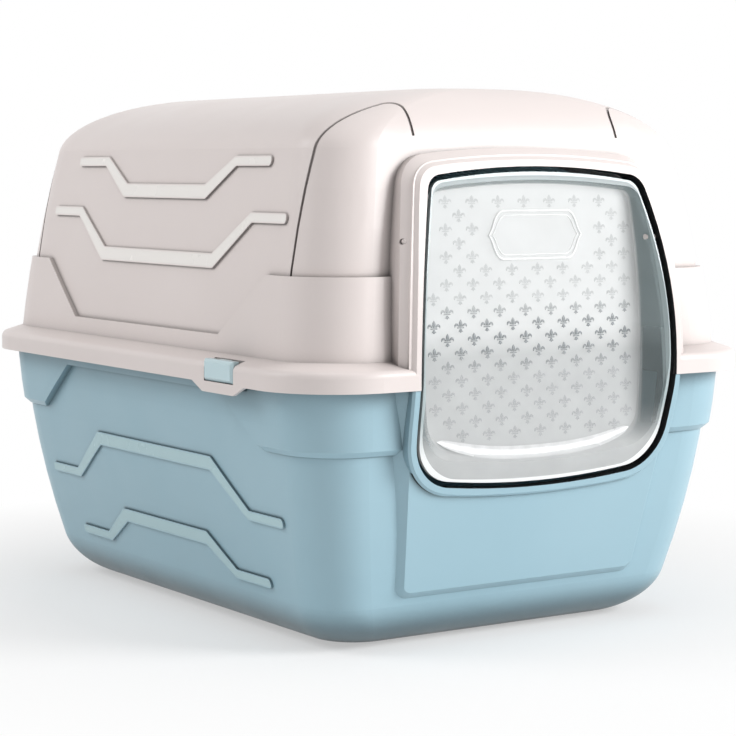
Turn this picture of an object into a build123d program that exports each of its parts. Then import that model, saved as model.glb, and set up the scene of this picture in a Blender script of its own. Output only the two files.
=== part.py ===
from build123d import *
import math
import os

# Covered litter box that is rolled over by hand to sift itself. Millimetres.
# Origin: middle of the base's underside. +Z up, the door faces -Y, +X to the right.

# Overall size, at the rim where the two halves meet
rim_length = 520.0
rim_width = 405.6
height = 390.5
rim_corner_radius = 60.0

# Shell walls
wall = 2.6
rim_overhang = 18.8
split_z = 186.0

# Wall shape: how far a wall leans in per mm of height at the rim, and its bow radius
base_lean = 0.06
base_bow = 760.0
base_round = 32.0
base_corner_loss = 0.2
hood_lean = 0.072
hood_bow = 1200.0
hood_round_height = 43.0
hood_round_side = 120.0
hood_round_end = 31.0
hood_corner_growth = -0.1
wall_steps = 6
round_steps = 7

# Rim skirt on the hood, and the base flange that it covers
skirt_face_height = 13.5
skirt_slope_height = 6.5
skirt_round = 5.0
skirt_gap = 3.0
flange_thickness = 2.5
flange_lift = 2.0

# Raised corner bands above and below the rim
plinth_proud = 3.5
plinth_top_z = 261.5
plinth_low_z = 217.5
plinth_top_half = 170.0
plinth_low_half = 113.0
plinth_rear_inset = 42.0
shoulder_proud = 5.5
shoulder_low_z = 141.0
shoulder_high_z = 179.0
shoulder_low_half = 174.0
shoulder_high_half = 120.0
shoulder_chamfer = 4.0

# Zigzag ribs on the long sides: half length at the end, outer knee and inner knee, then heights
rib_proud = 1.8
rib_thick = 10.5
rib_thin = 7.2
rib_corner = 3.2
hood_rib_upper = (148.0, 99.5, 62.0, 339.0, 317.0)
hood_rib_lower = (179.0, 132.5, 85.5, 299.8, 268.3)
base_rib_upper = (180.0, 133.5, 88.0, 91.0, 123.3)
base_rib_lower = (146.5, 99.5, 64.0, 43.2, 65.0)
hood_rib_shift = -6.0
base_rib_shift = -3.0

# Grooves that outline the four corner panels of the hood
groove_width = 2.2
groove_depth = 1.5
groove_side_y = 197.0
groove_front_x = 89.5
groove_bend = 14.0
groove_end_z = 356.0

# Door frame outline at its lip, seen from the front
frame_half_top = 97.0
frame_half_rim = 116.5
frame_half_low = 111.0
frame_widest_z = 190.0
frame_top_corner_z = 332.5
frame_top_z = 339.5
frame_low_corner_z = 116.0
frame_low_z = 107.5
frame_top_radius = 18.0
frame_low_radius = 40.0
least_radius = 5.0
frame_chamfer = 9.0
lip_width = 4.0

# Lip surface seen from the side: upright at the rim, bowed back above, leaning back below
lip_bow = 400.0
lip_lean_degrees = 12.65
lip_blend = 130.0

# Apron below the door
apron_behind_lip = 4.0
apron_low_z = 42.0
apron_half_low = 100.3
apron_corner = 7.0

# Door flap: a thin rim that follows the lip, and a flat face sunk behind it. The two panel
# outlines are the sunk face and the mouth of its slopes: half widths, then heights, then radii
door_gap = 3.8
door_set_back = 2.4
door_thickness = 2.0
door_rim_thickness = 3.0
door_face = (86.5, 91.0, 87.0, 317.0, 323.0, 155.0, 146.0, 9.0, 16.0)
door_mouth = (96.0, 110.0, 105.0, 329.0, 337.0, 119.0, 109.0, 15.0, 32.0)
door_face_y = -231.5
door_face_z = 330.0
door_face_tilt = 2.4
door_mouth_y = -262.0
door_back_y = -222.0
door_ear_half_height = 7.0
door_ear_length = 6.0
door_pivot_y = -243.0
door_pivot_z = 285.0
door_pin_radius = 2.0
pin_running_gap = 0.06
door_pin_reach = 5.0
door_pin_end_gap = 0.6
door_pin_dome_out = 7.0

# Latches in the rim, one on each side
latch_y = -145.5
latch_width = 39.0
latch_low_z = 187.5
latch_high_z = 202.5
latch_gap = 0.6
latch_proud = 1.2
latch_travel = 3.0
latch_depth = 7.0
latch_arm_width = 15.0
latch_arm_thickness = 2.0
latch_corner = 2.0
tab_drop = 6.7
tab_half_top = 36.0
tab_half_low = 21.3
tab_shift = 1.7
catch_thickness = 2.5
catch_width = 30.0
spring_radius = 2.8
spring_wire = 0.7
spring_turns = 4
spring_length = 6.0

# Rear hinge
hinge_x = 112.0
hinge_out = 6.8
hinge_z = 190.0
hinge_barrel_radius = 6.0
hinge_barrel_length = 16.0
hinge_pin_radius = 2.0
hinge_pin_head_radius = 3.4
hinge_pin_head_length = 2.0
hinge_side_gap = 0.8
hinge_notch_gap = 2.0

# Waste drawer in the right side of the hood, and the cradle that it slides in
drawer_half = 104.0
drawer_low_z = 222.0
drawer_high_z = 259.0
drawer_inner_x = 113.0
drawer_wall = 2.0
drawer_gap = 0.6
drawer_corner = 6.0
grip_half = 36.0
grip_height = 22.0
grip_depth = 16.0
cradle_wall = 2.4
cradle_slack = 0.5

# Sieve grid in the roof of the hood
grid_roof_x = -62.0
grid_roof_drop = 19.0
grid_wall_z = 300.0
grid_front_y = -184.0
grid_rear_y = 196.0
grid_thickness = 3.0
grid_border = 8.0
grid_bar = 4.0
grid_slot = 9.0
grid_rows = 2
clip_width = 16.0
clip_thickness = 2.4
clip_drop = 4.0
clip_shelf = 7.0

# Carry handle, folded into a well in the roof
well_half_length = 74.0
well_half_width = 28.0
well_depth = 15.0
well_corner = 6.0
handle_pivot_x = 19.0
handle_pivot_drop = 6.5
handle_reach = 30.0
handle_grip_width = 14.0
handle_thickness = 8.0
handle_gap = 1.2
handle_arch = 1.6
handle_arch_half = 27.0
handle_pin_radius = 1.8
handle_pin_inset = 9.0

# Derived places
wall_half_x = rim_width / 2 - rim_overhang
wall_half_y = rim_length / 2 - rim_overhang
wall_corner = rim_corner_radius - rim_overhang
skirt_inner_x = rim_width / 2 - wall
skirt_inner_y = rim_length / 2 - wall
flange_z = split_z + flange_lift
hinge_y = rim_length / 2 + hinge_out
grid_roof_z = height - grid_roof_drop
lip_lean = math.tan(math.radians(lip_lean_degrees))
blend_reach = lip_blend * math.tan(math.radians(lip_lean_degrees / 2))
bow_start_z = split_z + blend_reach
blend_low_z = split_z - blend_reach * math.cos(math.radians(lip_lean_degrees))
far = 320.0


def section(half_x, half_y, radius, z):
    """One level of a shell: a rectangle with round corners."""
    return Pos(0, 0, z) * RectangleRounded(2 * half_x, 2 * half_y, radius)


def lean_in(distance, slope, bow):
    """How far a bowed wall has moved in at this distance from the rim."""
    return slope * distance + distance * distance / (2 * bow)


def base_body(shrink, top_z, floor_z=0.0):
    """Solid with the base's outer shape, every wall moved in by shrink."""
    def level(z, inset):
        inset += lean_in(split_z - z, base_lean, base_bow)
        radius = wall_corner - shrink - base_corner_loss * (inset - shrink)
        return section(wall_half_x - inset, wall_half_y - inset, radius, z)

    bottom = []
    for i in range(round_steps + 1):
        angle = math.radians(90 * (1 - i / round_steps))
        z = base_round - (base_round - shrink) * math.sin(angle)
        bottom.append(level(z, base_round - (base_round - shrink) * math.cos(angle)))
    walls = [level(base_round + (top_z - base_round) * i / wall_steps, shrink)
             for i in range(wall_steps + 1)]
    body = loft(bottom) + loft(walls, ruled=True)
    if floor_z > 0:
        return body
    return body - half_space(0.0, above=False)


def hood_body(shrink, low_z, top_z=None):
    """Solid with the hood's outer shape, every wall moved in by shrink."""
    def level(z, inset_x, inset_y):
        lean = lean_in(z - split_z, hood_lean, hood_bow)
        half_x = wall_half_x - inset_x - lean
        radius = wall_corner - shrink + hood_corner_growth * (inset_x - shrink)
        return section(half_x, wall_half_y - inset_y - lean, min(radius, half_x - 1.0), z)

    start = height - hood_round_height
    end = start if top_z is None else top_z
    walls = [level(low_z + (end - low_z) * i / wall_steps, shrink, shrink)
             for i in range(wall_steps + 1)]
    body = loft(walls, ruled=True)
    if top_z is not None:
        return body
    roof = []
    for i in range(round_steps + 1):
        angle = math.radians(90 * i / round_steps)
        z = start + (hood_round_height - shrink) * math.sin(angle)
        inset_x = hood_round_side - (hood_round_side - shrink) * math.cos(angle)
        inset_y = hood_round_end - (hood_round_end - shrink) * math.cos(angle)
        roof.append(level(z, inset_x, inset_y))
    return body + loft(roof)


def four_arcs(sizes, grow=0.0):
    """Outline of four arcs with round corners in the XZ plane, moved outward by grow."""
    half_top, half_wide, half_low, top_corner, top_z, low_corner, low_z, top_round, low_round = sizes
    top = (half_top + grow, top_corner + grow)
    low = (half_low + grow, low_corner - grow)
    widest = (half_wide + grow, frame_widest_z)

    def flip(point):
        return (-point[0], point[1])

    edges = [
        ThreePointArc(low, widest, top),
        ThreePointArc(top, (0, top_z + grow), flip(top)),
        ThreePointArc(flip(top), flip(widest), flip(low)),
        ThreePointArc(flip(low), (0, low_z - grow), low),
    ]
    face = make_face(edges)
    top_corners = face.vertices().filter_by(lambda v: abs(v.Y - top[1]) < 0.1)
    face = fillet(top_corners, max(top_round + grow, least_radius))
    low_corners = face.vertices().filter_by(lambda v: abs(v.Y - low[1]) < 0.1)
    return fillet(low_corners, max(low_round + grow, least_radius))


def frame_outline(grow=0.0):
    """Door frame outline at its lip, moved outward by grow."""
    return four_arcs((frame_half_top, frame_half_rim, frame_half_low, frame_top_corner_z,
                      frame_top_z, frame_low_corner_z, frame_low_z, frame_top_radius,
                      frame_low_radius), grow)


def from_front(face, y_out, y_in):
    """Prism of a front-view face between two Y planes, y_out nearer the front."""
    return extrude(Pos(0, y_in, 0) * (Plane.XZ * face), amount=y_in - y_out)


def from_side(face, x_low, x_high):
    """Prism of a side-view face (Y, Z) between two X planes."""
    return extrude(Pos(x_low, 0, 0) * (Plane.YZ * face), amount=x_high - x_low)


def lip_y(z, set_back=0.0):
    """Y of the lip surface at a height: a lean, a blend round the rim, then a bow."""
    front = -rim_length / 2 + set_back
    if z >= bow_start_z:
        return front + (z - bow_start_z) ** 2 / (2 * lip_bow)
    if z >= blend_low_z:
        return front + lip_blend - math.sqrt(lip_blend ** 2 - (bow_start_z - z) ** 2)
    return front + lip_lean * (split_z - z)


def lip_slab(set_back, low_z, high_z, back_y=-180.0):
    """Everything behind the lip surface, moved back by set_back, between two heights."""
    def point(z):
        return (lip_y(z, set_back), z)

    path = []
    if low_z < blend_low_z:
        path.append(Line(point(low_z), point(blend_low_z)))
    arc_low = max(low_z, blend_low_z)
    arc_high = min(high_z, bow_start_z)
    path.append(ThreePointArc(point(arc_low), point((arc_low + arc_high) / 2), point(arc_high)))
    if high_z > bow_start_z:
        middle_z = (bow_start_z + high_z) / 2
        path.append(ThreePointArc(point(bow_start_z), point(middle_z), point(high_z)))
    start = path[0] @ 0
    end = path[-1] @ 1
    path.append(Polyline((end.X, end.Y), (back_y, end.Y), (back_y, start.Y), (start.X, start.Y)))
    return from_side(make_face(path), -far / 2, far / 2)


def apron_outline(grow=0.0):
    """Front-view outline of the apron, from the rim down, moved outward by grow."""
    low_half = apron_half_low + grow
    top_half = frame_half_rim + grow
    low_z = apron_low_z - grow
    points = [(-low_half, low_z), (low_half, low_z), (top_half, split_z), (-top_half, split_z)]
    face = make_face(Polyline(*points, close=True))
    corners = face.vertices().filter_by(lambda v: abs(v.Y - low_z) < 0.1)
    return fillet(corners, apron_corner + grow)


def half_space(z, above):
    """Big block above or below a height."""
    middle = z + far / 2 if above else z - far / 2
    return Pos(0, 0, middle) * Box(2 * far, 2 * far, far)


def lip_edges(solid, keep_low, keep_high):
    """Edges round the lip surface between two heights, leaving out the level cuts."""
    front_faces = [f for f in solid.faces() if f.normal_at().Y < -0.8]
    found = []
    for face in front_faces:
        for edge in face.edges():
            box = edge.bounding_box()
            level = box.max.Z - box.min.Z < 0.05 and (
                abs(box.max.Z - keep_low) < 0.05 or abs(box.max.Z - keep_high) < 0.05)
            if not level:
                found.append(edge)
    return found


def collar(low_z, high_z, slab_set_back, outline, chamfer_size):
    """Block that stands out of the front wall with a bevelled edge round its lip."""
    block = from_front(outline, -far, -180.0) & lip_slab(slab_set_back, low_z, high_z)
    return chamfer(lip_edges(block, low_z, high_z), chamfer_size)


def rib(shape, shift):
    """Side-view zigzag band through the whole width, with round ends and knees."""
    tip, outer, inner, outer_z, inner_z = shape
    half = rib_thick / 2
    thin = rib_thin / 2
    slant = 1.5 if inner_z > outer_z else -1.5
    top = [(-tip, outer_z + thin), (-outer - slant, outer_z + thin), (-inner - slant, inner_z + half),
           (inner + slant, inner_z + half), (outer + slant, outer_z + thin), (tip, outer_z + thin)]
    low = [(tip, outer_z - thin), (outer - slant, outer_z - thin), (inner - slant, inner_z - half),
           (-inner + slant, inner_z - half), (-outer + slant, outer_z - thin),
           (-tip, outer_z - thin)]
    face = make_face(Polyline(*(top + low), close=True))
    face = fillet(face.vertices(), rib_corner)
    return from_side(Pos(shift, 0) * face, -far, far)


def trapezoid(low_half, high_half, low_z, high_z):
    """Trapezoid about the middle, seen from the side or the end."""
    points = [(-low_half, low_z), (low_half, low_z), (high_half, high_z), (-high_half, high_z)]
    return make_face(Polyline(*points, close=True))


def plinths():
    """Raised corner bands of the hood, with a low band between them."""
    band = hood_body(-plinth_proud, split_z, plinth_top_z)
    rise = (plinth_top_half - plinth_low_half) / (plinth_top_z - plinth_low_z)
    over = 10.0
    gap = trapezoid(plinth_low_half, plinth_top_half + rise * over, plinth_low_z, plinth_top_z + over)
    rear = trapezoid(plinth_low_half - plinth_rear_inset, plinth_top_half - plinth_rear_inset
                     + rise * over, plinth_low_z, plinth_top_z + over)
    rear_cut = extrude(Pos(0, far, 0) * (Plane.XZ * rear), amount=far - wall_half_y + wall_corner)
    return band - from_side(gap, -far, far) - rear_cut


def shoulders():
    """Raised corner bands of the base under the rim, with a thin band between them."""
    band = base_body(-shoulder_proud, split_z, floor_z=1.0)
    band = band & Pos(0, 0, (shoulder_low_z + split_z) / 2) * Box(
        2 * far, 2 * far, split_z - shoulder_low_z)
    low_edges = band.faces().sort_by(Axis.Z)[0].edges()
    band = chamfer(low_edges, shoulder_chamfer)
    rise = (shoulder_low_half - shoulder_high_half) / (shoulder_high_z - shoulder_low_z)
    over = 10.0
    gap = trapezoid(shoulder_low_half + rise * over, shoulder_high_half,
                    shoulder_low_z - over, shoulder_high_z)
    rear = trapezoid(shoulder_low_half - plinth_rear_inset + rise * over,
                     shoulder_high_half - plinth_rear_inset, shoulder_low_z - over, shoulder_high_z)
    rear_cut = extrude(Pos(0, far, 0) * (Plane.XZ * rear), amount=far - wall_half_y + wall_corner)
    return band - from_side(gap, -far, far) - rear_cut


def skirt(shrink):
    """Rim skirt: an upright face, a round edge and a slope up to the wall."""
    low_z = split_z - shrink
    half_x = rim_width / 2 - shrink
    half_y = rim_length / 2 - shrink
    radius = rim_corner_radius - shrink
    face_top = split_z + skirt_face_height - shrink
    slope_top = split_z + skirt_face_height + skirt_slope_height - shrink
    block = loft([section(half_x, half_y, radius, low_z), section(half_x, half_y, radius, face_top)],
                 ruled=True)
    if shrink == 0:
        block = block + loft([
            section(half_x, half_y, radius, face_top),
            section(wall_half_x - 1, wall_half_y - 1, wall_corner - 1, slope_top)], ruled=True)
        ring = [e for e in block.edges() if abs(e.center().Z - face_top) < 0.2]
        return fillet(ring, skirt_round)
    return block + loft([
        section(half_x, half_y, radius, face_top),
        section(wall_half_x - 1 - shrink, wall_half_y - 1 - shrink, wall_corner - 1 - shrink,
                slope_top)], ruled=True)


def groove_cutter():
    """Solid that cuts the groove of the front left corner panel."""
    half = groove_width / 2
    bend_x = -groove_front_x - groove_bend
    bend_y = -groove_side_y - groove_bend
    side = Pos((-far + bend_x) / 2, -groove_side_y) * Rectangle(far + bend_x, groove_width)
    front = Pos(-groove_front_x, (-far + bend_y) / 2) * Rectangle(groove_width, far + bend_y)
    ring = Pos(bend_x, bend_y) * (Circle(groove_bend + half) - Circle(groove_bend - half))
    quarter = Pos(bend_x + groove_bend, bend_y + groove_bend) * Rectangle(
        2 * groove_bend, 2 * groove_bend)
    bend = ring & quarter
    tall = height - plinth_top_z + 10
    short = height - groove_end_z + 10
    side_part = extrude(Pos(0, 0, plinth_top_z) * side, amount=tall)
    front_part = extrude(Pos(0, 0, groove_end_z) * (bend + front), amount=short)
    return side_part + front_part


def grooves(skin_inside):
    """All four corner grooves, cut only as deep as the skin."""
    cutter = groove_cutter()
    pair = cutter + cutter.mirror(Plane.YZ)
    return pair + pair.mirror(Plane.XZ) - skin_inside


def both_sides(solid):
    """A solid and its mirror image on the other side."""
    return solid + solid.mirror(Plane.YZ)


def box_between(low, high):
    """Box from its lowest to its highest corner."""
    size = [b - a for a, b in zip(low, high)]
    middle = [(a + b) / 2 for a, b in zip(low, high)]
    return Pos(*middle) * Box(*size)


def cylinder_x(radius, x_low, x_high, y, z):
    """Cylinder along X between two planes."""
    return Pos((x_low + x_high) / 2, y, z) * Rot(0, 90, 0) * Cylinder(radius, x_high - x_low)


def cylinder_y(radius, y_low, y_high, x, z):
    """Cylinder along Y between two planes."""
    return Pos(x, (y_low + y_high) / 2, z) * Rot(90, 0, 0) * Cylinder(radius, y_high - y_low)


def latch_tab():
    """Tongue of the left skirt that hangs below the rim round the latch."""
    y = latch_y + tab_shift
    points = [(y - tab_half_top, split_z + 1), (y + tab_half_top, split_z + 1),
              (y + tab_half_top, split_z), (y + tab_half_low, split_z - tab_drop),
              (y - tab_half_low, split_z - tab_drop), (y - tab_half_top, split_z)]
    face = make_face(Polyline(*points, close=True))
    return from_side(face, -rim_width / 2, -skirt_inner_x)


def latch_window():
    """Opening in the left skirt for the latch."""
    half = latch_width / 2 + latch_gap
    x_in = -rim_width / 2 + latch_depth + latch_travel
    return box_between((-rim_width / 2 - 10, latch_y - half, latch_low_z - latch_gap),
                       (x_in, latch_y + half, latch_high_z + latch_gap))


def spring_seat():
    """Rib inside the skirt that the left latch spring pushes on."""
    x = -rim_width / 2 + latch_depth + spring_length
    z_low = flange_z + flange_thickness + 1.0
    z_high = split_z + skirt_face_height + skirt_slope_height / 2
    return box_between((x, latch_y - latch_arm_width / 2, z_low),
                       (x + wall, latch_y + latch_arm_width / 2, z_high))


def handle_well(grow):
    """Well in the roof for the folded handle, grown by grow for its outside."""
    block = Pos(0, 0, height - well_depth - grow) * RectangleRounded(
        2 * (well_half_width + grow), 2 * (well_half_length + grow), well_corner + grow)
    return extrude(block, amount=well_depth + grow + 20)


def handle_pin_bore(y_sign):
    """Axis of one handle pin, as a bore through the end wall of the well."""
    y_in = well_half_length - handle_gap - handle_pin_inset
    y_out = well_half_length + wall + 0.01
    low, high = sorted((y_sign * y_in, y_sign * y_out))
    return low, high


def drawer_window(grow):
    """Right-side window of the drawer front, seen along X."""
    face = Pos(0, (drawer_low_z + drawer_high_z) / 2) * RectangleRounded(
        2 * (drawer_half + grow), drawer_high_z - drawer_low_z + 2 * grow, drawer_corner + grow)
    return from_side(face, drawer_inner_x, far)


def hinge_barrel(offset_sign, x_centre):
    """Barrel of one hinge half beside the middle of the hinge."""
    near = hinge_side_gap / 2
    low = x_centre + near if offset_sign > 0 else x_centre - near - hinge_barrel_length
    return low, low + hinge_barrel_length


def hood_hinge(x_centre):
    """Hood's knuckle: barrel and web on the rear skirt."""
    low, high = hinge_barrel(1, x_centre)
    body = cylinder_x(hinge_barrel_radius, low, high, hinge_y, hinge_z)
    web = box_between((low, skirt_inner_y + wall / 2, hinge_z),
                      (high, hinge_y, hinge_z + hinge_barrel_radius))
    return body + web


def base_hinge(x_centre):
    """Base's knuckle: barrel and web on the flange, through the notch in the skirt."""
    low, high = hinge_barrel(-1, x_centre)
    body = cylinder_x(hinge_barrel_radius, low, high, hinge_y, hinge_z)
    web = box_between((low, wall_half_y - 2, flange_z - 1.5),
                      (high, hinge_y, flange_z + flange_thickness))
    return body + web


def hinge_notch(x_centre):
    """Gap in the hood's rear skirt for the base's knuckle."""
    low, high = hinge_barrel(-1, x_centre)
    return box_between((low - hinge_notch_gap, wall_half_y + 6, split_z - 20),
                       (high + hinge_side_gap / 2, hinge_y + 20,
                        hinge_z + hinge_barrel_radius + hinge_notch_gap + 2))


def hood_shell():
    """Upper half, moulded in one piece."""
    outer = hood_body(0, split_z)
    inner = hood_body(wall, split_z - 1)
    frame = collar(split_z, 358.0, 0.0, frame_outline(frame_chamfer), frame_chamfer)
    shell = outer + skirt(0) + plinths() + frame
    raised = hood_body(-rib_proud, split_z)
    shell = shell + (rib(hood_rib_upper, hood_rib_shift) & raised)
    shell = shell + (rib(hood_rib_lower, hood_rib_shift) & raised)
    shell = shell - grooves(hood_body(groove_depth, split_z - 1))
    shell = shell - skirt(wall) - inner
    backing = frame_wall(split_z, 358.0)
    shell = shell + backing
    shell = shell + (handle_well(wall) & hood_body(wall / 2, split_z))
    shell = shell + both_sides(latch_tab() + spring_seat())
    shell = shell + hood_hinge(-hinge_x) + hood_hinge(hinge_x)
    shell = shell - from_front(frame_outline(-lip_width), -far, -180.0)
    shell = shell - half_space(split_z - tab_drop - 0.5, above=False)
    shell = shell - handle_well(0)
    shell = shell - both_sides(latch_window())
    shell = shell - drawer_window(drawer_gap)
    shell = shell - hinge_notch(-hinge_x) - hinge_notch(hinge_x)
    for x_centre in (-hinge_x, hinge_x):
        shell = shell - cylinder_x(hinge_pin_radius + pin_running_gap, x_centre - 40, x_centre + 40,
                                   hinge_y, hinge_z)
    for sign in (-1, 1):
        low, high = handle_pin_bore(sign)
        shell = shell - cylinder_y(handle_pin_radius, low, high, handle_pivot_x,
                                   height - handle_pivot_drop)
    shell = shell - cylinder_x(door_pin_radius, -far / 2, far / 2, door_pivot_y, door_pivot_z)
    return shell


def frame_wall(low_z, high_z):
    """Ring behind the lip that closes the hollow between the collar and the front wall."""
    ring = frame_outline(frame_chamfer * 0.5) - frame_outline(-lip_width)
    block = from_front(ring, -far, -wall_half_y + rim_overhang)
    return block & lip_slab(wall, low_z, high_z, back_y=-wall_half_y + rim_overhang + 2)


def base_tray():
    """Lower half that holds the litter, moulded in one piece."""
    shell = base_body(0, split_z) + shoulders()
    apron_face = collar(apron_low_z - 12, split_z, apron_behind_lip, apron_outline(frame_chamfer),
                        frame_chamfer)
    bezel = collar(frame_low_z - 12, split_z, 0.0, frame_outline(lip_width * 0.4),
                   lip_width * 0.4)
    shell = shell + (apron_face & base_body(-frame_chamfer * 1.6, split_z)) + bezel
    raised = base_body(-rib_proud, split_z)
    shell = shell + (rib(base_rib_upper, base_rib_shift) & raised)
    shell = shell + (rib(base_rib_lower, base_rib_shift) & raised)
    flange = extrude(section(skirt_inner_x - skirt_gap, skirt_inner_y - skirt_gap,
                             rim_corner_radius - wall - skirt_gap, flange_z),
                     amount=flange_thickness)
    neck = extrude(section(wall_half_x, wall_half_y, wall_corner, split_z - 0.5),
                   amount=flange_z + flange_thickness - split_z + 0.5)
    front_gap = frame_half_rim + frame_chamfer + skirt_gap
    front_cut = box_between((-front_gap, -far, split_z), (front_gap, -wall_half_y + wall_corner, far))
    flange = flange - both_sides(latch_notch())
    shell = shell + (neck - front_cut) + (flange - front_cut)
    shell = shell - base_body(wall, split_z, floor_z=1.0)
    shell = shell - extrude(section(wall_half_x - wall, wall_half_y - wall, wall_corner - wall,
                                    split_z - 1), amount=20)
    shell = shell + catches()
    shell = shell + base_hinge(-hinge_x) + base_hinge(hinge_x)
    shell = shell - from_front(frame_outline(-lip_width), -far, -180.0)
    for x_centre in (-hinge_x, hinge_x):
        shell = shell - cylinder_x(hinge_pin_radius, x_centre - 40, x_centre + 40, hinge_y, hinge_z)
    return shell


def latch_notch():
    """Gap in the left side of the flange that the latch moves in."""
    half = latch_width / 2 + skirt_gap
    return box_between((-far, latch_y - half, split_z),
                       (-rim_width / 2 + latch_depth + latch_travel + skirt_gap,
                        latch_y + half, far))


def catches():
    """Catch ledges under both latches."""
    z_high = split_z - 2.0
    x_out = skirt_inner_x - skirt_gap
    ledge = box_between((-x_out, latch_y - catch_width / 2, z_high - catch_thickness),
                        (-wall_half_x + 1.0, latch_y + catch_width / 2, z_high))
    return both_sides(ledge)


def latch():
    """Left push latch: a button in the rim window with an arm that drops behind the tab."""
    x_out = -rim_width / 2 - latch_proud
    x_in = -rim_width / 2 + latch_depth
    half = latch_width / 2
    button = box_between((x_out, latch_y - half, latch_low_z),
                         (x_in - latch_arm_thickness, latch_y + half, latch_high_z))
    outer_edges = button.faces().sort_by(Axis.X)[0].edges()
    button = chamfer(outer_edges, latch_corner)
    arm = box_between((x_in - latch_arm_thickness, latch_y - latch_arm_width / 2,
                       latch_low_z - 2), (x_in, latch_y + latch_arm_width / 2, latch_high_z))
    return button + arm


def spring():
    """Left latch spring: one coil of wire along X, wound from the latch to its seat."""
    z = flange_z + flange_thickness + spring_radius + 1.4
    radius = spring_radius - spring_wire / 2
    length = spring_length - spring_wire - 0.2
    x_low = -rim_width / 2 + latch_depth + spring_wire / 2 + 0.1
    path = Pos(x_low, latch_y, z) * Rot(0, 90, 0) * Helix(length / spring_turns, length, radius)
    start = path @ 0
    wire = Plane(origin=start, z_dir=path % 0) * Circle(spring_wire / 2)
    return sweep(wire, path=path, is_frenet=True)


def door_tray(grow, back):
    """Sloped well of the flap's sunk face, grown by grow, its flat floor moved back by back."""
    span = door_back_y - door_mouth_y
    reach = (door_back_y - door_face_y) / (door_face_y - door_mouth_y)
    deep = [f - reach * (m - f) for f, m in zip(door_face, door_mouth)]
    well = loft([Pos(0, door_back_y, 0) * (Plane.XZ * four_arcs(deep, grow)),
                 Pos(0, door_back_y - span, 0) * (Plane.XZ * four_arcs(door_mouth, grow))],
                ruled=True)
    floor = Pos(0, door_face_y + back, door_face_z) * Rot(-door_face_tilt, 0, 0) * Box(
        2 * far, 2 * far, 2 * far, align=(Align.CENTER, Align.MAX, Align.CENTER))
    return well & floor


def door_flap():
    """Clear flap: a rim that follows the lip, with sloped sides down to a flat sunk face."""
    low_z = frame_low_z - 5
    high_z = frame_top_z + 5
    front = lip_slab(door_set_back, low_z, high_z)
    rim_back = lip_slab(door_set_back + door_rim_thickness, low_z, high_z)
    prism = from_front(frame_outline(-lip_width - door_gap), -far, -180.0)
    rim = (prism & front) - rim_back
    outside = door_tray(door_thickness, door_thickness) & front & prism
    return rim + outside - door_tray(0.0, 0.0) + both_sides(door_ear())


def door_ear():
    """Left ear of the flap, behind its rim, that takes the hinge pin."""
    half = door_edge_half()
    y = door_pivot_y
    depth = door_pin_radius + 2.4
    block = box_between((-half, y - depth, door_pivot_z - door_ear_half_height),
                        (-half + door_ear_length, y + depth, door_pivot_z + door_ear_half_height))
    outline = from_front(frame_outline(-lip_width - door_gap), -far, -180.0)
    return block & outline & lip_slab(door_set_back, frame_low_z, frame_top_z)


def door_with_bores():
    """Door flap with a blind bore in each side for its pins."""
    half = door_edge_half()
    bore = cylinder_x(door_pin_radius + pin_running_gap, -far / 2,
                      -half + door_pin_reach + door_pin_end_gap, door_pivot_y, door_pivot_z)
    return door_flap() - both_sides(bore)


def frame_half_at(z):
    """Half width of the frame outline at a height, on the arc through its three points."""
    x1, z1 = frame_half_low, frame_low_corner_z
    x2, z2 = frame_half_rim, frame_widest_z
    x3, z3 = frame_half_top, frame_top_corner_z
    a = x1 * (z2 - z3) - z1 * (x2 - x3) + x2 * z3 - x3 * z2
    b = ((x1 ** 2 + z1 ** 2) * (z3 - z2) + (x2 ** 2 + z2 ** 2) * (z1 - z3)
         + (x3 ** 2 + z3 ** 2) * (z2 - z1))
    c = ((x1 ** 2 + z1 ** 2) * (x2 - x3) + (x2 ** 2 + z2 ** 2) * (x3 - x1)
         + (x3 ** 2 + z3 ** 2) * (x1 - x2))
    centre_x = -b / (2 * a)
    centre_z = -c / (2 * a)
    radius = math.hypot(x1 - centre_x, z1 - centre_z)
    return centre_x + math.sqrt(radius ** 2 - (z - centre_z) ** 2)


def door_edge_half():
    """Half width of the flap at the height of its pins."""
    return frame_half_at(door_pivot_z) - lip_width - door_gap


def door_pin():
    """Left door pin: pressed into the collar, its round head shows outside."""
    x_in = -door_edge_half() + door_pin_reach
    x_out = -frame_half_at(door_pivot_z) - door_pin_dome_out
    shaft = cylinder_x(door_pin_radius, x_out, x_in, door_pivot_y, door_pivot_z)
    dome = Pos(x_out, door_pivot_y, door_pivot_z) * Sphere(door_pin_radius)
    return shaft + dome


def hinge_pin(x_centre):
    """Rear hinge pin with a flat head."""
    low, _ = hinge_barrel(-1, x_centre)
    _, high = hinge_barrel(1, x_centre)
    shaft = cylinder_x(hinge_pin_radius, low - 1.0, high + 1.5, hinge_y, hinge_z)
    head = cylinder_x(hinge_pin_head_radius, low - hinge_pin_head_length - 0.1, low - 0.1,
                      hinge_y, hinge_z)
    return shaft + head


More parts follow.
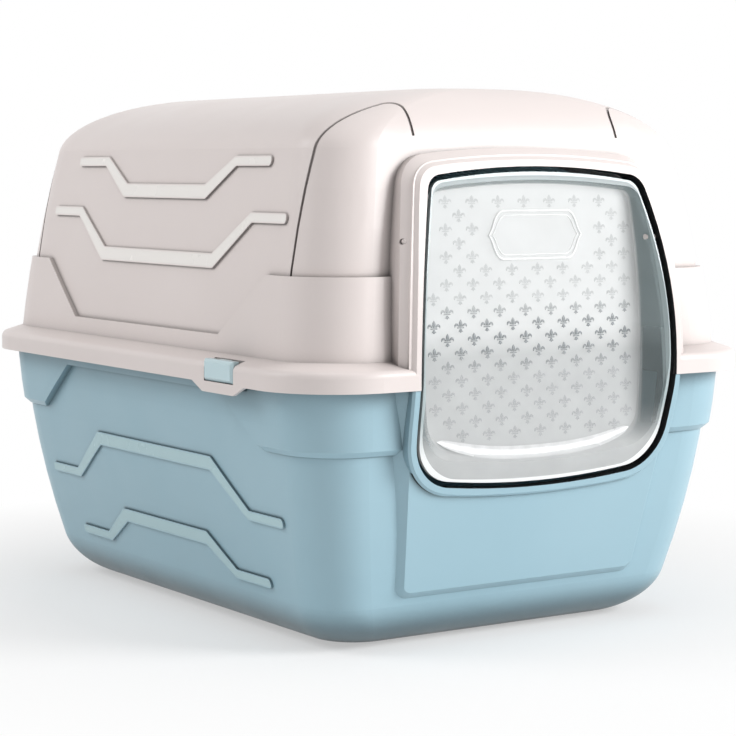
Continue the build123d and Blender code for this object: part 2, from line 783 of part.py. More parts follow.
def waste_drawer(hood_outer, hood_wall_inner):
    """Open trough with a front that is flush with the right side of the hood."""
    z_low, z_high = drawer_low_z, drawer_high_z
    floor_z = z_low + drawer_wall
    hollow = Pos(0, (floor_z + z_high + 10) / 2) * RectangleRounded(
        2 * (drawer_half - drawer_wall), z_high + 10 - floor_z, drawer_corner - drawer_wall)
    inner = from_side(hollow, drawer_inner_x + drawer_wall, far)
    trough = (drawer_window(0) - inner) & hood_wall_inner
    trough = trough - half_space(z_high - drawer_corner, above=True)
    front = (drawer_window(0) & hood_outer) - hood_wall_inner
    middle_z = (z_low + z_high) / 2
    x_face = wall_half_x - lean_in(middle_z - split_z, hood_lean, hood_bow)
    cup_outer = box_between((x_face - grip_depth - drawer_wall, -grip_half - drawer_wall,
                             middle_z - grip_height / 2 - drawer_wall),
                            (x_face, grip_half + drawer_wall,
                             middle_z + grip_height / 2 + drawer_wall))
    cup = box_between((x_face - grip_depth, -grip_half, middle_z - grip_height / 2),
                      (far, grip_half, middle_z + grip_height / 2))
    body = trough + front + (cup_outer & hood_outer)
    return body - cup


def drawer_cradle(hood_wall_inner):
    """Open channel on the hood's inner wall that carries the drawer."""
    gap = cradle_slack
    outer = box_between((drawer_inner_x - gap - cradle_wall, -drawer_half - gap - cradle_wall,
                         drawer_low_z - gap - cradle_wall),
                        (far, drawer_half + gap + cradle_wall, drawer_high_z - 4))
    inner = box_between((drawer_inner_x - gap, -drawer_half - gap, drawer_low_z - gap),
                        (far, drawer_half + gap, drawer_high_z + 20))
    return (outer - inner) & hood_wall_inner


def grid_frame_place():
    """Place of the sieve grid: its middle, slope angle and slope length."""
    wall_x = wall_half_x - wall - lean_in(grid_wall_z - split_z, hood_lean, hood_bow)
    run = wall_x - grid_roof_x
    drop = grid_roof_z - grid_wall_z
    angle = math.degrees(math.atan2(drop, run))
    length = math.hypot(run, drop)
    middle = ((wall_x + grid_roof_x) / 2, (grid_front_y + grid_rear_y) / 2,
              (grid_roof_z + grid_wall_z) / 2)
    return middle, angle, length


def sieve_grid(hood_wall_inner):
    """Flat grid with bars down the slope and one cross bar."""
    middle, angle, length = grid_frame_place()
    across = grid_rear_y - grid_front_y
    plate = Rectangle(length + 30, across)
    usable = across - 2 * grid_border
    count = int(usable // (grid_bar + grid_slot))
    row_length = (length - 2 * grid_border - grid_bar * (grid_rows - 1)) / grid_rows
    slots = GridLocations(row_length + grid_bar, grid_bar + grid_slot, grid_rows, count)
    holes = slots * Rectangle(row_length, grid_slot)
    panel = extrude(plate - holes, amount=grid_thickness / 2, both=True)
    panel = Pos(*middle) * Rot(0, angle, 0) * panel
    keep = box_between((grid_roof_x, -far, 0), (far, far, far * 2))
    return panel & hood_wall_inner & keep


def grid_clips(hood_wall_inner):
    """Small clips that hold the grid's four corners to the hood."""
    middle, angle, length = grid_frame_place()
    clips = []
    for y in (grid_front_y + clip_width, grid_rear_y - clip_width):
        foot = Pos(length / 2 - 6, 0, -grid_thickness / 2 - clip_thickness / 2) * Box(
            40, clip_width, clip_thickness)
        placed = Pos(middle[0], y, middle[2]) * Rot(0, angle, 0) * foot
        clips.append(placed & hood_wall_inner)
        x = grid_roof_x - clip_thickness / 2
        hanger = box_between((x - clip_thickness / 2, y - clip_width / 2, grid_roof_z - clip_drop),
                             (x + clip_thickness / 2, y + clip_width / 2, height))
        shelf_z = grid_roof_z - clip_drop
        shelf = box_between((x, y - clip_width / 2, shelf_z - clip_thickness),
                            (grid_roof_x + clip_shelf, y + clip_width / 2, shelf_z))
        clips.append((hanger + shelf) & hood_wall_inner)
    return clips


def carry_handle():
    """Folding handle: a grip bar along Y on two short arms."""
    z = height - handle_pivot_drop
    half = well_half_length - handle_gap
    arm_width = handle_pin_inset - 1.0
    x_far = handle_pivot_x - handle_reach
    grip = box_between((x_far - handle_grip_width / 2, -half, z - handle_thickness / 2),
                       (x_far + handle_grip_width / 2, half, z + handle_thickness / 2))
    arms = []
    for sign in (-1, 1):
        y_low, y_high = sorted((sign * half, sign * (half - arm_width)))
        arms.append(box_between((x_far, y_low, z - handle_thickness / 2),
                                (handle_pivot_x + handle_thickness / 2, y_high,
                                 z + handle_thickness / 2)))
    rise = height + handle_arch - z - handle_thickness / 2
    arch = ThreePointArc((-handle_arch_half, 0), (0, rise), (handle_arch_half, 0))
    bump = make_face([arch, Line((handle_arch_half, 0), (-handle_arch_half, 0))])
    pad = Pos(0, 0, z + handle_thickness / 2) * from_side(
        bump, x_far - handle_grip_width / 2, x_far + handle_grip_width / 2)
    body = grip + arms[0] + arms[1] + pad
    long_edges = body.edges().filter_by(Axis.Y)
    body = fillet(long_edges.filter_by(lambda e: e.length > 60), 2.0)
    bore = cylinder_y(handle_pin_radius + pin_running_gap, -far, far, handle_pivot_x, z)
    return body - bore


def handle_pin(sign):
    """Pin between one end wall of the well and the handle's arm."""
    low, high = handle_pin_bore(sign)
    return cylinder_y(handle_pin_radius, low, high, handle_pivot_x, height - handle_pivot_drop)


def write(name, shape):
    """Saves one node, made of one or more solids."""
    solids = [s for item in (shape if isinstance(shape, list) else [shape]) for s in item.solids()]
    node = solids[0] if len(solids) == 1 else Compound(children=solids)
    node.label = name
    export_step(node, "parts/" + name + ".step")
    print(name, len(solids), round(sum(s.volume for s in solids)))


def main():
    os.makedirs("parts", exist_ok=True)
    hood_outer = hood_body(0, split_z)
    hood_inner = hood_body(wall, split_z - 1)
    write("base_tray", base_tray())
    write("hood_shell", hood_shell())
    write("door_flap", door_with_bores())
    pin = door_pin()
    write("door_pin_left", pin)
    write("door_pin_right", pin.mirror(Plane.YZ))
    left_latch = latch()
    write("latch_left", left_latch)
    write("latch_right", left_latch.mirror(Plane.YZ))
    left_spring = spring()
    write("latch_spring_left", left_spring)
    write("latch_spring_right", left_spring.mirror(Plane.YZ))
    write("hinge_pin_left", hinge_pin(-hinge_x))
    write("hinge_pin_right", hinge_pin(hinge_x))
    write("waste_drawer", waste_drawer(hood_outer, hood_inner))
    write("drawer_cradle", drawer_cradle(hood_inner))
    write("sieve_grid", sieve_grid(hood_inner))
    write("grid_clips", grid_clips(hood_inner))
    write("carry_handle", carry_handle())
    write("handle_pin_front", handle_pin(-1))
    write("handle_pin_rear", handle_pin(1))


main()
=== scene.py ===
import math
import bmesh
import bpy
from mathutils import Matrix, Vector


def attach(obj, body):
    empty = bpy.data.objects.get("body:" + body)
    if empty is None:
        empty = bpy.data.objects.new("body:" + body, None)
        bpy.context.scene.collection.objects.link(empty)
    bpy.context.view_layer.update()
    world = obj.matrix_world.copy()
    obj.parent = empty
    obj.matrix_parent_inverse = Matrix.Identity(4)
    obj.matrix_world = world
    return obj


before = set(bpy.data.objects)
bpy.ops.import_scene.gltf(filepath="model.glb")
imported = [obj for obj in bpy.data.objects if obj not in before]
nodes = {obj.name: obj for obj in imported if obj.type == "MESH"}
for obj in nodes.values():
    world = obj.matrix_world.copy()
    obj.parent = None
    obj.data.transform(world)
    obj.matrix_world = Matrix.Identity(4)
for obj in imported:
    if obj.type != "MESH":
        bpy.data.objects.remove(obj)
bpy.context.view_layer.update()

mm = 0.001
black = (0.0, 0.0, 0.0, 1.0)
white = (1.0, 1.0, 1.0, 1.0)


# Shader helpers
def linear(r, g, b):
    """sRGB bytes as a linear colour."""
    def one(v):
        v = v / 255
        return v / 12.92 if v <= 0.04045 else ((v + 0.055) / 1.055) ** 2.4
    return (one(r), one(g), one(b), 1.0)


def mixed(colour, share, other):
    """Colour moved by a share towards another."""
    return tuple(a + (b - a) * share for a, b in zip(colour, other))


def new_material(name):
    """Node material with its tree and shader."""
    m = bpy.data.materials.new(name)
    m.use_nodes = True
    tree = m.node_tree
    return m, tree, tree.nodes["Principled BSDF"]


def calc(tree, operation, *values):
    """Math node on sockets or numbers."""
    n = tree.nodes.new("ShaderNodeMath")
    n.operation = operation
    for i, v in enumerate(values):
        if isinstance(v, (int, float)):
            n.inputs[i].default_value = v
        else:
            tree.links.new(v, n.inputs[i])
    return n.outputs[0]


def spread(tree, value, low_at, high_at, low, high):
    """Value laid out between two numbers, held at its ends."""
    r = tree.nodes.new("ShaderNodeMapRange")
    for name, v in (("From Min", low_at), ("From Max", high_at), ("To Min", low), ("To Max", high)):
        r.inputs[name].default_value = v
    tree.links.new(value, r.inputs["Value"])
    return r.outputs["Result"]


def blended(tree, share, first, second):
    """Colour between two colours or colour sockets, by a value."""
    n = tree.nodes.new("ShaderNodeMix")
    n.data_type = "RGBA"
    tree.links.new(share, n.inputs[0])
    for v, socket in ((first, n.inputs[6]), (second, n.inputs[7])):
        if isinstance(v, tuple):
            socket.default_value = v
        else:
            tree.links.new(v, socket)
    return n.outputs[2]


def noise(tree, scale, detail=3.0):
    """Noise that lies in the object's own space."""
    coord = tree.nodes.new("ShaderNodeTexCoord")
    n = tree.nodes.new("ShaderNodeTexNoise")
    n.inputs["Scale"].default_value = scale
    n.inputs["Detail"].default_value = detail
    tree.links.new(coord.outputs["Object"], n.inputs["Vector"])
    return n.outputs["Fac"]


def place_in(tree):
    """The object's own X, Y and Z in mm."""
    coord = tree.nodes.new("ShaderNodeTexCoord")
    split = tree.nodes.new("ShaderNodeSeparateXYZ")
    tree.links.new(coord.outputs["Object"], split.inputs[0])
    return [calc(tree, "MULTIPLY", split.outputs[i], 1000.0) for i in range(3)]


def bump(tree, shader, value, strength, distance):
    """Fine relief on a shader."""
    b = tree.nodes.new("ShaderNodeBump")
    b.inputs["Strength"].default_value = strength
    b.inputs["Distance"].default_value = distance
    tree.links.new(value, b.inputs["Height"])
    tree.links.new(b.outputs["Normal"], shader.inputs["Normal"])


def painted_crevice_shade(tree, reach, depth):
    """Painted shade: 1 on open surfaces, falling to depth in corners and gaps within reach, from
    ambient occlusion.
    """
    ao = tree.nodes.new("ShaderNodeAmbientOcclusion")
    ao.samples = 8
    ao.inputs["Distance"].default_value = reach
    return spread(tree, ao.outputs["AO"], 0.3, 0.85, depth, 1.0)


def rib_share(tree, shape, shift):
    """1 on the face of a zigzag rib, from the same sizes as the solid, and 0 beside it."""
    tip, outer, inner, outer_z, inner_z, slant = shape
    x, y, z = place_in(tree)
    u = calc(tree, "ABSOLUTE", calc(tree, "SUBTRACT", y, shift))
    top = spread(tree, u, inner + slant, outer + slant, inner_z + rib_half, outer_z + rib_end_half)
    low = spread(tree, u, inner - slant, outer - slant, inner_z - rib_half, outer_z - rib_end_half)
    near = calc(tree, "MINIMUM", calc(tree, "SUBTRACT", top, z), calc(tree, "SUBTRACT", z, low))
    near = calc(tree, "MINIMUM", near, calc(tree, "SUBTRACT", tip, u))
    inside = spread(tree, near, 0.0, rib_edge, 0.0, 1.0)
    side = spread(tree, calc(tree, "ABSOLUTE", x), *rib_side, 0.0, 1.0)
    return calc(tree, "MULTIPLY", inside, side)


def doorway_painted_shadow(tree):
    """Painted shadow: 1 on the wall of the doorway, which is coloured near black to show the gap's
    shade as a dark line round the flap, and 0 elsewhere.
    """
    coord = tree.nodes.new("ShaderNodeTexCoord")
    split = tree.nodes.new("ShaderNodeSeparateXYZ")
    tree.links.new(coord.outputs["Normal"], split.inputs[0])
    faces_in = spread(tree, calc(tree, "ABSOLUTE", split.outputs[1]), *wall_facing, 1.0, 0.0)
    x, y, z = place_in(tree)
    off = calc(tree, "SUBTRACT", z, face_wide_z)
    bow = calc(tree, "MULTIPLY", calc(tree, "MULTIPLY", off, off), edge_bow)
    side = calc(tree, "ADD", calc(tree, "ABSOLUTE", x), bow)
    beside = calc(tree, "LESS_THAN", side, edge_half + doorway_gap + wall_slack)
    drop = calc(tree, "MULTIPLY", calc(tree, "MULTIPLY", x, x), top_edge[1] / top_edge[2] ** 2)
    under = calc(tree, "LESS_THAN", calc(tree, "ADD", z, drop),
                 top_edge[0] + doorway_gap + wall_slack)
    front = calc(tree, "LESS_THAN", y, wall_back_y)
    share = calc(tree, "MULTIPLY", calc(tree, "MULTIPLY", faces_in, beside),
                 calc(tree, "MULTIPLY", under, front))
    return calc(tree, "MULTIPLY", share, calc(tree, "GREATER_THAN", z, low_edge[0] - wall_below))


def moulded(name, colour, rough=0.38, ribs=(), rib_colour=white, gap_shade_depth=0.5, corner_shade_depth=0.5):
    """Injection-moulded plastic: faint flow marks, very fine grain, painted shade in gaps and
    corners, pale ribs, and with ribs a doorway wall painted dark as the gap's shadow.
    """
    m, tree, shader = new_material(name)
    flow = spread(tree, noise(tree, 6.0, 4.0), 0.3, 0.7, 0.0, 1.0)
    skin = blended(tree, flow, mixed(colour, 0.03, black), mixed(colour, 0.03, white))
    smear = spread(tree, noise(tree, 22.0, 5.0), 0.3, 0.7, rough - 0.04, rough + 0.06)
    if ribs:
        share = rib_share(tree, *ribs[0])
        for rib in ribs[1:]:
            share = calc(tree, "MAXIMUM", share, rib_share(tree, *rib))
        skin = blended(tree, share, skin, rib_colour)
        # Painted shadow: the doorway wall round the flap is coloured near black.
        skin = blended(tree, doorway_painted_shadow(tree), skin, painted_doorway_shadow)
        smear = calc(tree, "SUBTRACT", smear, calc(tree, "MULTIPLY", share, 0.12))
    # Painted shade: the colour is darkened towards black in narrow gaps and inner corners.
    skin = blended(tree, painted_crevice_shade(tree, gap_reach, gap_shade_depth), black, skin)
    skin = blended(tree, painted_crevice_shade(tree, corner_reach, corner_shade_depth), black, skin)
    tree.links.new(skin, shader.inputs["Base Color"])
    tree.links.new(smear, shader.inputs["Roughness"])
    bump(tree, shader, noise(tree, 900.0, 2.0), 0.05, 0.0002)
    shader.inputs["IOR"].default_value = 1.46
    return m


def metal(name, colour, rough):
    """Drawn steel: streaks along the wire, slight tarnish."""
    m, tree, shader = new_material(name)
    shader.inputs["Metallic"].default_value = 1.0
    streak = spread(tree, noise(tree, 160.0, 4.0), 0.3, 0.7, 0.0, 1.0)
    tree.links.new(blended(tree, streak, mixed(colour, 0.25, black), colour),
                   shader.inputs["Base Color"])
    tree.links.new(calc(tree, "ADD", calc(tree, "MULTIPLY", streak, 0.18), rough - 0.08),
                   shader.inputs["Roughness"])
    bump(tree, shader, noise(tree, 1400.0, 2.0), 0.1, 0.0001)
    return m


def edge_share(tree, x, z, edge, way):
    """1 within the rim's width of the flap's outer edge, at its top (1) or its bottom (-1)."""
    level, end_drop, end_x, radius = edge
    off = calc(tree, "SUBTRACT", z, face_wide_z)
    half = calc(tree, "SUBTRACT", edge_half - radius,
                calc(tree, "MULTIPLY", calc(tree, "MULTIPLY", off, off), edge_bow))
    past_side = calc(tree, "MAXIMUM", calc(tree, "SUBTRACT", calc(tree, "ABSOLUTE", x), half), 0.0)
    drop = calc(tree, "MULTIPLY", calc(tree, "MULTIPLY", x, x), end_drop / end_x ** 2)
    reach = calc(tree, "SUBTRACT", calc(tree, "MULTIPLY", z, way), way * level - radius)
    past_end = calc(tree, "MAXIMUM", calc(tree, "ADD", reach, drop), 0.0)
    corner = calc(tree, "SQRT", calc(tree, "ADD", calc(tree, "MULTIPLY", past_side, past_side),
                                     calc(tree, "MULTIPLY", past_end, past_end)))
    return spread(tree, corner, radius - rim_width - 0.5, radius - rim_width, 0.0, 1.0)


def door_plastic(name):
    """Clear flap: milky frosted face; clearer side slopes coloured darker blue-grey as painted
    shade; a rim made almost opaque white as a painted highlight.
    """
    m, tree, shader = new_material(name)
    x, y, z = place_in(tree)
    rim = calc(tree, "MAXIMUM", edge_share(tree, x, z, top_edge, 1),
               edge_share(tree, x, z, low_edge, -1))
    plane = calc(tree, "ADD", calc(tree, "MULTIPLY", z, math.tan(face_tilt)),
                 face_y - face_z * math.tan(face_tilt))
    before = calc(tree, "SUBTRACT", plane, y)
    slope = spread(tree, before, 0.6, 2.5, 0.0, 1.0)
    clear = calc(tree, "MULTIPLY", slope, spread(tree, z, *clear_from_z, 0.0, 1.0))
    cloud = spread(tree, noise(tree, 30.0, 4.0), 0.3, 0.7, -0.02, 0.02)
    frost = calc(tree, "ADD", cloud, spread(tree, z, *milk_change_z, low_milk, high_milk))
    milk = calc(tree, "SUBTRACT", frost, calc(tree, "MULTIPLY", clear, high_milk - slope_milk))
    # Painted highlight: the rim is made almost opaque white to show as a bright line.
    tree.links.new(calc(tree, "MAXIMUM", milk, calc(tree, "MULTIPLY", rim, rim_highlight_milk)),
                   shader.inputs["Alpha"])
    # Painted shade: the clearer side slopes are coloured darker blue-grey to stand for the dim
    # inside seen through them.
    tree.links.new(blended(tree, clear, linear(246, 248, 248), linear(178, 192, 194)),
                   shader.inputs["Base Color"])
    tree.links.new(spread(tree, slope, 0.0, 1.0, 0.42, 0.2), shader.inputs["Roughness"])
    shader.inputs["IOR"].default_value = 1.49
    bump(tree, shader, noise(tree, 600.0, 3.0), 0.06, 0.0002)
    return m


def relief_plastic(name, colour, milk_low, milk_high, rough):
    """Raised detail of the flap, strongest a little above the middle of the door."""
    m, tree, shader = new_material(name)
    x, y, z = place_in(tree)
    off = calc(tree, "ABSOLUTE", calc(tree, "SUBTRACT", z, relief_peak_z))
    grain = spread(tree, noise(tree, 120.0, 3.0), 0.3, 0.7, -0.04, 0.04)
    milk = calc(tree, "ADD", spread(tree, off, *relief_fade, milk_high, milk_low), grain)
    tree.links.new(milk, shader.inputs["Alpha"])
    tree.links.new(blended(tree, spread(tree, grain, -0.04, 0.04, 0.0, 1.0),
                           mixed(colour, 0.06, black), mixed(colour, 0.06, white)),
                   shader.inputs["Base Color"])
    tree.links.new(spread(tree, grain, -0.04, 0.04, rough - 0.04, rough + 0.04),
                   shader.inputs["Roughness"])
    bump(tree, shader, noise(tree, 500.0, 3.0), 0.1, 0.0002)
    return m


# Door face, from the same sizes as the solid: a plane that leans back a little
face_y, face_z, face_tilt = -231.5, 330.0, math.radians(2.4)
face_half = (86.5, 91.0, 87.0)
face_low, face_high, face_wide_z = 138.0, 319.0, 190.0

# Milkiness of the flap's parts, the rim's near-opaque white being a painted highlight, and the
# heights in mm over which it and the relief change
low_milk, high_milk, slope_milk, rim_highlight_milk = 0.4, 0.6, 0.45, 0.92
milk_change_z, clear_from_z = (204.0, 224.0), (138.0, 165.0)
relief_peak_z, relief_fade = 218.0, (5.0, 26.0)

# Outer edge of the flap: half width and bow, then level, drop, half length and corner of each end
edge_half, edge_bow, rim_width, doorway_gap = 108.7, 0.00098, 2.4, 3.8
top_edge = (331.7, 7.0, 97.0, 10.2)
low_edge = (115.3, 8.5, 111.0, 32.2)

# Doorway wall, painted near black as the gap's shadow: how far a face may turn to the front, slack
# beside it, its back and its lower end
wall_facing, wall_slack, wall_back_y, wall_below = (0.15, 0.35), 0.8, -222.0, 8.0
painted_doorway_shadow = linear(38, 38, 40)

# Zigzag ribs: half thickness at the middle and at the ends, soft edge, and where a side begins
rib_half, rib_end_half, rib_edge, rib_side = 5.25, 3.6, 1.6, (135.0, 140.0)

# Reach in m of the shade in narrow gaps and in inner corners
gap_reach, corner_reach = 0.007, 0.045

# Colours
hood_white = linear(229, 219, 216)
hood_rib_white = linear(246, 242, 238)
base_blue = linear(157, 190, 203)
base_rib_blue = linear(176, 206, 212)
hood_ribs = (((148.0, 99.5, 62.0, 339.0, 317.0, -1.5), -6.0),
             ((179.0, 132.5, 85.5, 299.8, 268.3, -1.5), -6.0))
base_ribs = (((180.0, 133.5, 88.0, 91.0, 123.3, 1.5), -3.0),
             ((146.5, 99.5, 64.0, 43.2, 65.0, 1.5), -3.0))

materials = {
    "hood": moulded("hood_plastic", hood_white, 0.36, hood_ribs, hood_rib_white, 0.5, 0.4),
    "base": moulded("base_plastic", base_blue, 0.36, base_ribs, base_rib_blue, 0.5, 0.35),
    "latch": moulded("latch_plastic", linear(200, 224, 230), 0.24, gap_shade_depth=0.9, corner_shade_depth=0.9),
    "pin": moulded("door_pin_plastic", linear(222, 213, 210), 0.22, gap_shade_depth=0.9, corner_shade_depth=0.9),
    "drawer": moulded("drawer_plastic", base_blue, 0.4),
    "inner": moulded("inner_plastic", linear(222, 215, 211), 0.5),
    "grid": moulded("grid_plastic", linear(150, 186, 197), 0.48),
    "handle": moulded("handle_plastic", linear(58, 58, 60), 0.45),
    "steel": metal("pin_steel", linear(190, 190, 194), 0.3),
    "wire": metal("spring_wire", linear(205, 206, 210), 0.22),
}
door_clear = door_plastic("door_frosting")
# Painted shade: the lilies are coloured dark grey, most opaque a little above the door's middle, to
# stand for the shaded inside seen through them.
motif_painted_shade = relief_plastic("motif_relief", linear(128, 136, 140), 0.17, 0.62, 0.3)
edge_clear = relief_plastic("plaque_edge", linear(252, 253, 253), 0.85, 0.85, 0.2)
fold_clear = relief_plastic("fold_round", linear(250, 251, 252), 0.6, 0.6, 0.16)

carried = {
    "hood_shell": "hood", "base_tray": "base", "latch_left": "latch", "latch_right": "latch",
    "door_pin_left": "pin", "door_pin_right": "pin", "waste_drawer": "drawer",
    "drawer_cradle": "inner", "sieve_grid": "grid", "grid_clips": "inner",
    "carry_handle": "handle", "hinge_pin_left": "steel", "hinge_pin_right": "steel",
    "handle_pin_front": "steel", "handle_pin_rear": "steel", "latch_spring_left": "wire",
    "latch_spring_right": "wire",
}


def dress(node, material):
    """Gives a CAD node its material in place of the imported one."""
    node.data.materials.clear()
    node.data.materials.append(material)


for name, key in carried.items():
    dress(nodes[name], materials[key])
dress(nodes["door_flap"], door_clear)


# Raised detail on the door's face
def on_face(x, z, out):
    """Point on the sunk face of the flap at this width and height, out towards the front."""
    y = face_y - (face_z - z) * math.tan(face_tilt)
    return Vector((x, y - out, z)) * mm


def face_half_at(z):
    """Half width of the flat face at a height."""
    end = face_high if z > face_wide_z else face_low
    half = face_half[0] if z > face_wide_z else face_half[2]
    t = (z - face_wide_z) / (end - face_wide_z)
    return face_half[1] + (half - face_half[1]) * t * t


def curved(points, steps=7):
    """Closed outline of quadratic curves through a list of corner, pull, corner, pull."""
    out = []
    for i in range(0, len(points), 2):
        a, pull, b = points[i], points[i + 1], points[(i + 2) % len(points)]
        for k in range(steps):
            t = k / steps
            out.append(tuple((1 - t) ** 2 * p + 2 * t * (1 - t) * q + t * t * r
                             for p, q, r in zip(a, pull, b)))
    return out


def lily():
    """Outlines of a plain heraldic lily: middle petal, two side petals, band and foot."""
    middle = curved([(0, 6.0), (2.6, 3.4), (0.9, -0.2), (0, -0.2), (-0.9, -0.2), (-2.6, 3.4)])
    side = curved([(1.3, -0.1), (2.2, 3.4), (4.7, 2.7), (6.6, 1.6), (5.6, -0.9),
                   (5.3, 0.9), (4.1, 0.9), (2.8, 1.0), (2.3, -0.1), (1.8, -0.1)])
    other = [(-x, z) for x, z in reversed(side)]
    band = curved([(-3.1, -0.7), (0, -0.4), (3.1, -0.7), (3.5, -1.15), (3.1, -1.6),
                   (0, -1.3), (-3.1, -1.6), (-3.5, -1.15)], 4)
    foot = curved([(-0.9, -2.0), (0, -2.0), (0.9, -2.0), (1.1, -3.4), (2.4, -4.4), (0.9, -4.0),
                   (0, -5.4), (-0.9, -4.0), (-2.4, -4.4), (-1.1, -3.4)], 4)
    return [[(x * lily_wide, z * lily_tall) for x, z in outline]
            for outline in (middle, side, other, band, foot)]


def relief(bm, outline, x0, z0, height):
    """Raised pad with sloped edges on the door's face."""
    n = len(outline)
    cx = sum(p[0] for p in outline) / n
    cz = sum(p[1] for p in outline) / n
    low = [bm.verts.new(on_face(x0 + x, z0 + z, 0.03)) for x, z in outline]
    top = [bm.verts.new(on_face(x0 + cx + (x - cx) * 0.9, z0 + cz + (z - cz) * 0.9, height))
           for x, z in outline]
    for i in range(n):
        j = (i + 1) % n
        bm.faces.new((low[i], low[j], top[j], top[i]))
    bm.faces.new(top)


def strip(bm, loops, closed):
    """Skin between rows of points, each row joined to the next."""
    rows = [[bm.verts.new(p) for p in loop] for loop in loops]
    for a, b in zip(rows, rows[1:]):
        for i in range(len(a) if closed else len(a) - 1):
            j = (i + 1) % len(a)
            bm.faces.new((a[i], a[j], b[j], b[i]))


def finish_mesh(name, bm, material):
    """Turns mesh code into a piece that rides on the door."""
    bmesh.ops.recalc_face_normals(bm, faces=bm.faces)
    mesh = bpy.data.meshes.new(name)
    bm.to_mesh(mesh)
    bm.free()
    mesh.polygons.foreach_set("use_smooth", [True] * len(mesh.polygons))
    piece = bpy.data.objects.new(name, mesh)
    bpy.context.scene.collection.objects.link(piece)
    mesh.materials.append(material)
    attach(piece, "door")
    return piece


# Plaque and lilies on the face: places, sizes, pitch and the space that is kept free
plaque_x, plaque_z = 3.0, 287.7
plaque_half_x, plaque_half_z = 40.5, 16.5
pitch_x, pitch_z = 22.5, 9.45
pattern_x, pattern_z = 4.4, 225.7
lily_wide, lily_tall, lily_out = 0.9, 0.82, 0.3
free_beside_plaque, free_over_plaque = 6.5, 3.5
free_low, free_high, free_side = 6, 4, 4
plaque_rim = [(1.1, 0.02), (0.8, 0.7), (-0.2, 0.7), (-0.6, 0.02)]
plaque_line = [(-2.4, 0.02), (-2.6, 0.4), (-3.0, 0.4), (-3.2, 0.02)]

# Fold: half length, size of the round, height at the middle and rise at its ends
fold_half, fold_radius, fold_z, fold_rise = 85.0, 4.6, 135.5, 12.0


def plaque_outline(grow):
    """Long plaque whose ends come to blunt points through a hollow curve."""
    hx, hz = plaque_half_x + grow, plaque_half_z + grow
    quarter = [(0, hz), (hx * 0.35, hz), (hx * 0.7, hz), (hx * 0.82, hz * 0.98),
               (hx * 0.9, hz * 0.45), (hx * 0.93, hz * 0.2)]
    points = quarter + [(hx, 0), (hx * 0.93, -hz * 0.2)]
    points += [(x, -z) for x, z in reversed(quarter[:5])]
    left = [(-x, z) for x, z in reversed(points[1:-1])]
    return curved(points + left, 6)


def near_plaque(x, z):
    """True where a lily would touch the plaque."""
    return (abs(x - plaque_x) < plaque_half_x + free_beside_plaque
            and abs(z - plaque_z) < plaque_half_z + free_over_plaque)


def door_pattern():
    """Raised lilies in staggered rows over the door's flat face."""
    bm = bmesh.new()
    shapes = lily()
    rows_below = int((pattern_z - face_low) // pitch_z)
    rows_above = int((face_high - pattern_z) // pitch_z)
    for row in range(-rows_below, rows_above + 1):
        z = pattern_z + row * pitch_z
        shift = pattern_x + (pitch_x / 2 if row % 2 else 0.0)
        if z < face_low + free_low or z > face_high - free_high:
            continue
        for k in range(-5, 6):
            x = k * pitch_x + shift
            if abs(x) > face_half_at(z) - free_side or near_plaque(x, z):
                continue
            for outline in shapes:
                relief(bm, outline, x, z, lily_out)
    return finish_mesh("door_pattern", bm, motif_painted_shade)


def door_plaque():
    """Raised double edge of a plaque that is bare inside."""
    bm = bmesh.new()
    for rings in (plaque_rim, plaque_line):
        strip(bm, [[on_face(plaque_x + x, plaque_z + z, out) for x, z in plaque_outline(grow)]
                   for grow, out in rings], closed=True)
    return finish_mesh("door_plaque", bm, edge_clear)


def door_fold():
    """Rounded fold between the face and the bottom slope."""
    bm = bmesh.new()
    slope = Vector((0, -0.636, -0.772))
    face_up = Vector((0, math.sin(face_tilt), math.cos(face_tilt)))
    loops = []
    for k in range(9):
        t = k / 8
        row = []
        for i in range(41):
            u = -1 + 2 * i / 40
            width = fold_radius * math.sqrt(max(1 - abs(u) ** 5, 0.0)) + 0.3
            corner = on_face(fold_half * u, fold_z + fold_rise * abs(u) ** 2.6, 0.12)
            up = corner + face_up * width * mm
            down = corner + slope * width * mm
            row.append((1 - t) ** 2 * up + 2 * t * (1 - t) * corner + t * t * down)
        loops.append(row)
    strip(bm, loops, closed=False)
    return finish_mesh("door_fold", bm, fold_clear)


door_pattern()
door_plaque()
door_fold()


# Floor, light and camera
def shown_to_eye(tree):
    """1 on rays from the camera, mirrors and clear plastic, 0 on the ones that light things."""
    path = tree.nodes.new("ShaderNodeLightPath")
    seen = calc(tree, "MAXIMUM", path.outputs["Is Camera Ray"], path.outputs["Is Glossy Ray"])
    return calc(tree, "MAXIMUM", seen, path.outputs["Is Transmission Ray"])


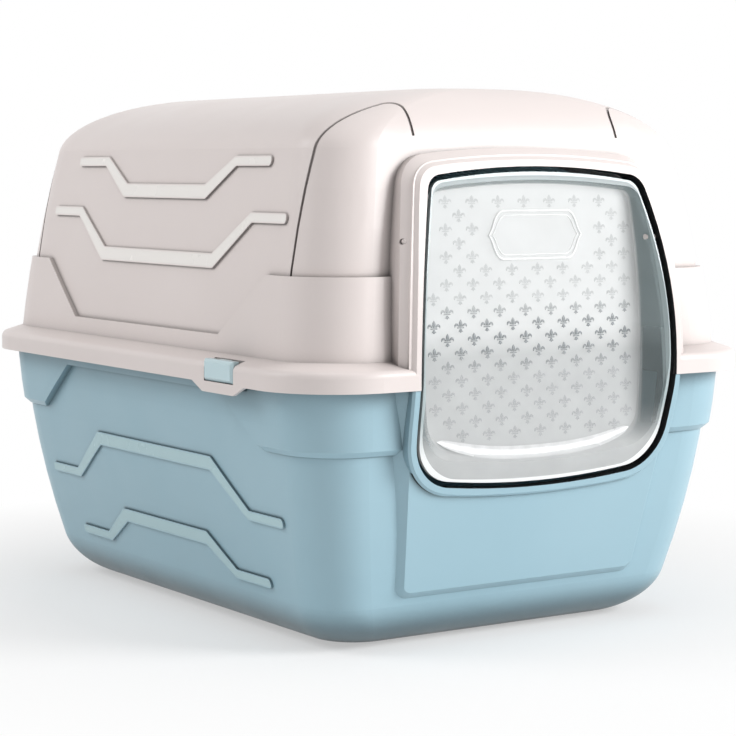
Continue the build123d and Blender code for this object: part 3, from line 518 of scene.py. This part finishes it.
def floor_material():
    """Pale floor that shows white, with the object's shadow close to it."""
    m, tree, shader = new_material("studio_floor")
    grain = spread(tree, noise(tree, 3.0, 2.0), 0.3, 0.7, 0.0, 1.0)
    tree.links.new(blended(tree, grain, (0.90, 0.90, 0.90, 1.0), (0.92, 0.92, 0.92, 1.0)),
                   shader.inputs["Base Color"])
    shader.inputs["Roughness"].default_value = 0.9
    shader.inputs["Specular IOR Level"].default_value = 0.1
    x, y, z = place_in(tree)
    away = calc(tree, "SQRT", calc(tree, "ADD", calc(tree, "POWER", x, 2.0),
                                   calc(tree, "POWER", y, 2.0)))
    share = calc(tree, "MULTIPLY", spread(tree, away, 240.0, 560.0, 0.45, 1.0), shown_to_eye(tree))
    glow = tree.nodes.new("ShaderNodeEmission")
    glow.inputs["Color"].default_value = white
    glow.inputs["Strength"].default_value = 1.0
    mix = tree.nodes.new("ShaderNodeMixShader")
    tree.links.new(share, mix.inputs[0])
    tree.links.new(shader.outputs[0], mix.inputs[1])
    tree.links.new(glow.outputs[0], mix.inputs[2])
    tree.links.new(mix.outputs[0], tree.nodes["Material Output"].inputs["Surface"])
    return m


def add_floor():
    """Flat floor just under the object."""
    bm = bmesh.new()
    bmesh.ops.create_grid(bm, x_segments=8, y_segments=8, size=6.0)
    mesh = bpy.data.meshes.new("studio_floor")
    bm.to_mesh(mesh)
    bm.free()
    floor = bpy.data.objects.new("studio_floor", mesh)
    bpy.context.scene.collection.objects.link(floor)
    floor.location = (0.0, 0.0, -0.0005)
    mesh.materials.append(floor_material())


def add_world(strength):
    """Even soft light, shown as plain white."""
    world = bpy.data.worlds.new("studio")
    bpy.context.scene.world = world
    world.use_nodes = True
    tree = world.node_tree
    tree.nodes.clear()
    lights = []
    for amount in (strength, 1.0):
        light = tree.nodes.new("ShaderNodeBackground")
        light.inputs["Color"].default_value = white
        light.inputs["Strength"].default_value = amount
        lights.append(light)
    mix = tree.nodes.new("ShaderNodeMixShader")
    tree.links.new(shown_to_eye(tree), mix.inputs[0])
    tree.links.new(lights[0].outputs[0], mix.inputs[1])
    tree.links.new(lights[1].outputs[0], mix.inputs[2])
    out = tree.nodes.new("ShaderNodeOutputWorld")
    tree.links.new(mix.outputs[0], out.inputs["Surface"])


def lamp(name, place, aim, size, power):
    """Square soft lamp aimed at a point."""
    light = bpy.data.lights.new(name, "AREA")
    light.shape = "SQUARE"
    light.size = size
    light.energy = power
    o = bpy.data.objects.new(name, light)
    o.location = place
    o.rotation_euler = (Vector(aim) - Vector(place)).to_track_quat("-Z", "Y").to_euler()
    bpy.context.scene.collection.objects.link(o)


def add_camera():
    """Camera at the photo's angle: yaw, pitch and roll, then its place in its own axes."""
    data = bpy.data.cameras.new("camera")
    data.lens = 107.5
    data.sensor_width = 36.0
    camera = bpy.data.objects.new("camera", data)
    bpy.context.scene.collection.objects.link(camera)
    yaw, pitch, roll = math.radians(-33.56), math.radians(5.14), math.radians(0.08)
    back = Vector((math.sin(yaw) * math.cos(pitch), -math.cos(yaw) * math.cos(pitch),
                   math.sin(pitch)))
    flat_right = Vector((0, 0, 1)).cross(back).normalized()
    flat_up = back.cross(flat_right)
    right = flat_right * math.cos(roll) + flat_up * math.sin(roll)
    up = flat_up * math.cos(roll) - flat_right * math.sin(roll)
    place = back * 1.75919 + right * 0.01452 + up * 0.17548
    camera.matrix_world = Matrix((
        (right.x, up.x, back.x, place.x),
        (right.y, up.y, back.y, place.y),
        (right.z, up.z, back.z, place.z),
        (0, 0, 0, 1)))
    bpy.context.scene.camera = camera


add_floor()
add_world(0.38)
lamp("key_lamp", (1.6, -1.95, 1.25), (0.0, -0.1, 0.18), 1.2, 61.0)
lamp("top_lamp", (-0.3, 0.0, 2.3), (0.0, 0.0, 0.3), 1.6, 5.0)
lamp("side_lamp", (-2.0, 0.9, 1.9), (0.0, 0.0, 0.2), 1.2, 24.0)
add_camera()
bpy.context.scene.view_settings.view_transform = "Standard"
